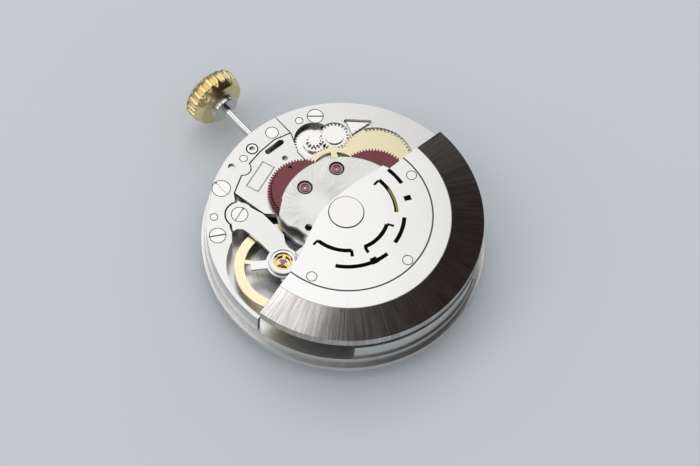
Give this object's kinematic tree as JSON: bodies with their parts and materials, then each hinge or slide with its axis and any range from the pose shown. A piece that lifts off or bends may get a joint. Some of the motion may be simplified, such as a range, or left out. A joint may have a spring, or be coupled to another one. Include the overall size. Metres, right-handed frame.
{
  "type": "mechanical watch movement",
  "caption": "Round self-winding mechanical watch movement with a half-disc rotor, full balance bridge, red reversing wheels and a fluted crown on its stem.",
  "frame": {"origin": "centre of the dial seat, in the plane on which the dial rests", "axes": "+Z along the hands' axis towards the rotor side, -X along the winding stem to the crown, +Y to 12 o'clock"},
  "size_m": [0.0359, 0.0284, 0.0079],
  "materials": {
    "plated_bridge": "satin rhodium plate",
    "polished_steel": "polished steel",
    "rotor_steel": "radially brushed",
    "brass_wheel": "gilt, fine grained",
    "gold_crown": "polished gold",
    "red_wheel": "red anodised",
    "ruby": "polished synthetic ruby",
    "hairspring_alloy": "dark blued alloy"
  },
  "bodies": {
    "movement_frame": {"main_plate": "plated_bridge", "train_bridge": "plated_bridge", "barrel_bridge": "plated_bridge", "side_bridge": "plated_bridge", "lower_rotor_bridge": "plated_bridge", "rotor_axle": "polished_steel", "upper_rotor_bridge": "plated_bridge", "rotor_bridge_settings": "polished_steel", "balance_bridge": "plated_bridge", "shock_seat": "polished_steel", "shock_spring": "brass_wheel", "stud_holder": "polished_steel", "pallet_bridge": "plated_bridge", "screws": "polished_steel", "steady_pins": "polished_steel", "bearing_jewels": "ruby", "setting_lever_spring": "polished_steel", "calendar_plate": "plated_bridge", "hairspring": "hairspring_alloy"},
    "barrel": {"mainspring_barrel": "brass_wheel"},
    "centre": {"centre_wheel": "brass_wheel", "cannon_pinion": "brass_wheel"},
    "third": {"third_wheel": "brass_wheel"},
    "fourth": {"fourth_wheel": "brass_wheel"},
    "seconds": {"seconds_pinion": "polished_steel"},
    "escape": {"escape_wheel": "polished_steel"},
    "pallet": {"pallet_fork": "polished_steel"},
    "balance": {"balance_wheel": "brass_wheel", "balance_staff": "polished_steel"},
    "ratchet": {"ratchet_wheel": "brass_wheel", "ratchet_screw": "polished_steel", "barrel_arbor": "polished_steel", "mainspring": "polished_steel"},
    "crown_wheel": {"crown_wheel": "polished_steel"},
    "winding_idler": {"winding_idler": "polished_steel"},
    "upper_idler": {"upper_winding_idler": "polished_steel"},
    "click": {"click": "polished_steel"},
    "driving_wheel": {"driving_wheel": "brass_wheel"},
    "reversing_pinion_a": {"reversing_pinion_a": "polished_steel"},
    "reversing_pinion_b": {"reversing_pinion_b": "polished_steel"},
    "reversing_wheel_a": {"reversing_wheel_a": "red_wheel"},
    "reversing_wheel_b": {"reversing_wheel_b": "red_wheel"},
    "rotor": {"rotor_plate": "rotor_steel", "rotor_weight": "rotor_steel", "rotor_pinion": "rotor_steel", "rotor_cap": "rotor_steel"},
    "winding_pinion": {"winding_pinion": "polished_steel"},
    "stem": {"winding_stem": "polished_steel", "crown": "gold_crown"},
    "sliding_pinion": {"sliding_pinion": "polished_steel"},
    "setting_lever": {"setting_lever": "polished_steel"},
    "yoke": {"yoke": "polished_steel"},
    "setting_wheel": {"setting_wheel": "polished_steel"},
    "intermediate_wheel": {"intermediate_wheel": "polished_steel"},
    "minute_wheel": {"minute_wheel": "brass_wheel"},
    "hour_wheel": {"hour_wheel": "brass_wheel"},
    "date_idler": {"date_idler_wheel": "brass_wheel"},
    "date_drive": {"date_driving_wheel": "brass_wheel"},
    "date_ring": {"date_ring": "polished_steel"},
    "date_jumper": {"date_jumper": "polished_steel"}
  },
  "joints": [
    {"name": "rotor_spin", "type": "hinge", "parent": "movement_frame", "child": "rotor", "pos_m": [0, 0, 0.00565], "axis": [0, 0, 1], "continuous": true},
    {"name": "centre_turn", "type": "hinge", "parent": "movement_frame", "child": "centre", "pos_m": [0, 0, 0.0017], "axis": [0, 0, 1], "continuous": true},
    {"name": "crown_turn", "type": "hinge", "parent": "movement_frame", "child": "winding_pinion", "pos_m": [-0.01062, 0, 0.0024], "axis": [1, 0, 0], "continuous": true},
    {"name": "balance_swing", "type": "hinge", "parent": "movement_frame", "child": "balance", "pos_m": [-0.00045, -0.00775, 0.00309], "axis": [0, 0, 1], "range_deg": [-290, 290]},
    {"name": "pallet_rock", "type": "hinge", "parent": "movement_frame", "child": "pallet", "pos_m": [-0.00186, -0.00594, 0.0021], "axis": [0, 0, 1], "range_deg": [-5.5, 5.5]},
    {"name": "date_ring_turn", "type": "hinge", "parent": "movement_frame", "child": "date_ring", "pos_m": [0, 0, 0.00022], "axis": [0, 0, 1], "continuous": true},
    {"name": "date_jumper_rock", "type": "hinge", "parent": "movement_frame", "child": "date_jumper", "pos_m": [-0.0036, -0.009, 0.00022], "axis": [0, 0, 1], "range_deg": [-6, 0]},
    {"name": "click_rock", "type": "hinge", "parent": "movement_frame", "child": "click", "pos_m": [-0.0075, 0.00835, 0.0038], "axis": [0, 0, 1], "range_deg": [-8, 0]},
    {"name": "crown_pull", "type": "slide", "parent": "winding_pinion", "child": "stem", "axis": [-1, 0, 0], "range_m": [0, 0.001]},
    {"name": "reversing_wheel_a_turn", "type": "hinge", "parent": "movement_frame", "child": "reversing_wheel_a", "pos_m": [-0.00489, -0.00106, 0.00458], "axis": [0, 0, 1], "continuous": true},
    {"name": "reversing_wheel_b_turn", "type": "hinge", "parent": "movement_frame", "child": "reversing_wheel_b", "pos_m": [-0.00123, 0.00485, 0.00484], "axis": [0, 0, 1], "continuous": true},
    {"name": "crown_wheel_turn", "type": "hinge", "parent": "movement_frame", "child": "crown_wheel", "pos_m": [-0.0091, 0, 0.0032], "axis": [0, 0, 1], "continuous": true},
    {"name": "winding_idler_turn", "type": "hinge", "parent": "movement_frame", "child": "winding_idler", "pos_m": [-0.00894, 0.00381, 0.0032], "axis": [0, 0, 1], "continuous": true},
    {"name": "upper_idler_turn", "type": "hinge", "parent": "movement_frame", "child": "upper_idler", "pos_m": [-0.00797, 0.00568, 0.0038], "axis": [0, 0, 1], "continuous": true},
    {"name": "ratchet_turn", "type": "hinge", "parent": "movement_frame", "child": "ratchet", "pos_m": [-0.00317, 0.00702, 0.0038], "axis": [0, 0, 1], "continuous": true},
    {"name": "driving_wheel_turn", "type": "hinge", "parent": "movement_frame", "child": "driving_wheel", "pos_m": [-0.00446, 0.00277, 0.0043], "axis": [0, 0, 1], "continuous": true},
    {"name": "reversing_pinion_a_turn", "type": "hinge", "parent": "movement_frame", "child": "reversing_pinion_a", "pos_m": [-0.00489, -0.00106, 0.0043], "axis": [0, 0, 1], "continuous": true},
    {"name": "reversing_pinion_b_turn", "type": "hinge", "parent": "movement_frame", "child": "reversing_pinion_b", "pos_m": [-0.00123, 0.00485, 0.0043], "axis": [0, 0, 1], "continuous": true},
    {"name": "sliding_pinion_shift", "type": "slide", "parent": "winding_pinion", "child": "sliding_pinion", "axis": [1, 0, 0], "range_m": [0, 0.0006]},
    {"name": "setting_lever_rock", "type": "hinge", "parent": "movement_frame", "child": "setting_lever", "pos_m": [-0.0126, 0.003, 0.0006], "axis": [0, 0, 1], "range_deg": [-19.69, 0.5]},
    {"name": "yoke_rock", "type": "hinge", "parent": "movement_frame", "child": "yoke", "pos_m": [-0.00949, -0.0028, 0.0006], "axis": [0, 0, 1], "range_deg": [-12.8, 0.5]},
    {"name": "barrel_turn", "type": "hinge", "parent": "movement_frame", "child": "barrel", "pos_m": [-0.00317, 0.00702, 0.002], "axis": [0, 0, 1], "continuous": true},
    {"name": "third_turn", "type": "hinge", "parent": "movement_frame", "child": "third", "pos_m": [0.00359, -0.00131, 0.00244], "axis": [0, 0, 1], "continuous": true},
    {"name": "fourth_turn", "type": "hinge", "parent": "movement_frame", "child": "fourth", "pos_m": [0.00248, -0.00497, 0.0022], "axis": [0, 0, 1], "continuous": true},
    {"name": "seconds_turn", "type": "hinge", "parent": "movement_frame", "child": "seconds", "pos_m": [0, 0, 0.00244], "axis": [0, 0, 1], "continuous": true},
    {"name": "escape_turn", "type": "hinge", "parent": "movement_frame", "child": "escape", "pos_m": [-0.00108, -0.0042, 0.00195], "axis": [0, 0, 1], "continuous": true},
    {"name": "minute_wheel_turn", "type": "hinge", "parent": "movement_frame", "child": "minute_wheel", "pos_m": [-0.00226, 0.00082, 0.0006], "axis": [0, 0, 1], "continuous": true},
    {"name": "hour_wheel_turn", "type": "hinge", "parent": "movement_frame", "child": "hour_wheel", "pos_m": [0, 0, 0.00027], "axis": [0, 0, 1], "continuous": true},
    {"name": "intermediate_wheel_turn", "type": "hinge", "parent": "movement_frame", "child": "intermediate_wheel", "pos_m": [-0.00492, 0.00168, 0.0006], "axis": [0, 0, 1], "continuous": true},
    {"name": "setting_wheel_turn", "type": "hinge", "parent": "movement_frame", "child": "setting_wheel", "pos_m": [-0.0069, 0, 0.0006], "axis": [0, 0, 1], "continuous": true},
    {"name": "date_idler_turn", "type": "hinge", "parent": "movement_frame", "child": "date_idler", "pos_m": [0.00192, 0.00333, 0.00027], "axis": [0, 0, 1], "continuous": true},
    {"name": "date_drive_turn", "type": "hinge", "parent": "movement_frame", "child": "date_drive", "pos_m": [0.0065, -0.00017, 0.00027], "axis": [0, 0, 1], "continuous": true}
  ],
  "couplings": [
    {"joint": "reversing_wheel_a_turn", "follows": "rotor_spin", "ratio": -0.38889},
    {"joint": "reversing_wheel_b_turn", "follows": "rotor_spin", "ratio": 0.36188},
    {"joint": "crown_wheel_turn", "follows": "crown_turn", "ratio": 0.5},
    {"joint": "winding_idler_turn", "follows": "crown_turn", "ratio": -0.5},
    {"joint": "upper_idler_turn", "follows": "crown_turn", "ratio": 0.26087},
    {"joint": "ratchet_turn", "follows": "crown_turn", "ratio": -0.1},
    {"joint": "driving_wheel_turn", "follows": "crown_turn", "ratio": 0.42857},
    {"joint": "reversing_pinion_a_turn", "follows": "crown_turn", "ratio": -1.7714},
    {"joint": "reversing_pinion_b_turn", "follows": "crown_turn", "ratio": -1.7714},
    {"joint": "sliding_pinion_shift", "follows": "crown_pull", "ratio": 0.6},
    {"joint": "setting_lever_rock", "follows": "crown_pull", "rad_per_m": -334.9},
    {"joint": "yoke_rock", "follows": "crown_pull", "rad_per_m": -214.7},
    {"joint": "barrel_turn", "follows": "centre_turn", "ratio": -0.30508},
    {"joint": "third_turn", "follows": "centre_turn", "ratio": -8},
    {"joint": "fourth_turn", "follows": "centre_turn", "ratio": 60},
    {"joint": "seconds_turn", "follows": "centre_turn", "ratio": 60},
    {"joint": "escape_turn", "follows": "centre_turn", "ratio": -720},
    {"joint": "minute_wheel_turn", "follows": "centre_turn", "ratio": -0.33333},
    {"joint": "hour_wheel_turn", "follows": "centre_turn", "ratio": 0.083333},
    {"joint": "intermediate_wheel_turn", "follows": "centre_turn", "ratio": 0.6},
    {"joint": "setting_wheel_turn", "follows": "centre_turn", "ratio": -0.375},
    {"joint": "date_idler_turn", "follows": "centre_turn", "ratio": -0.083333},
    {"joint": "date_drive_turn", "follows": "centre_turn", "ratio": 0.041667}
  ]
}
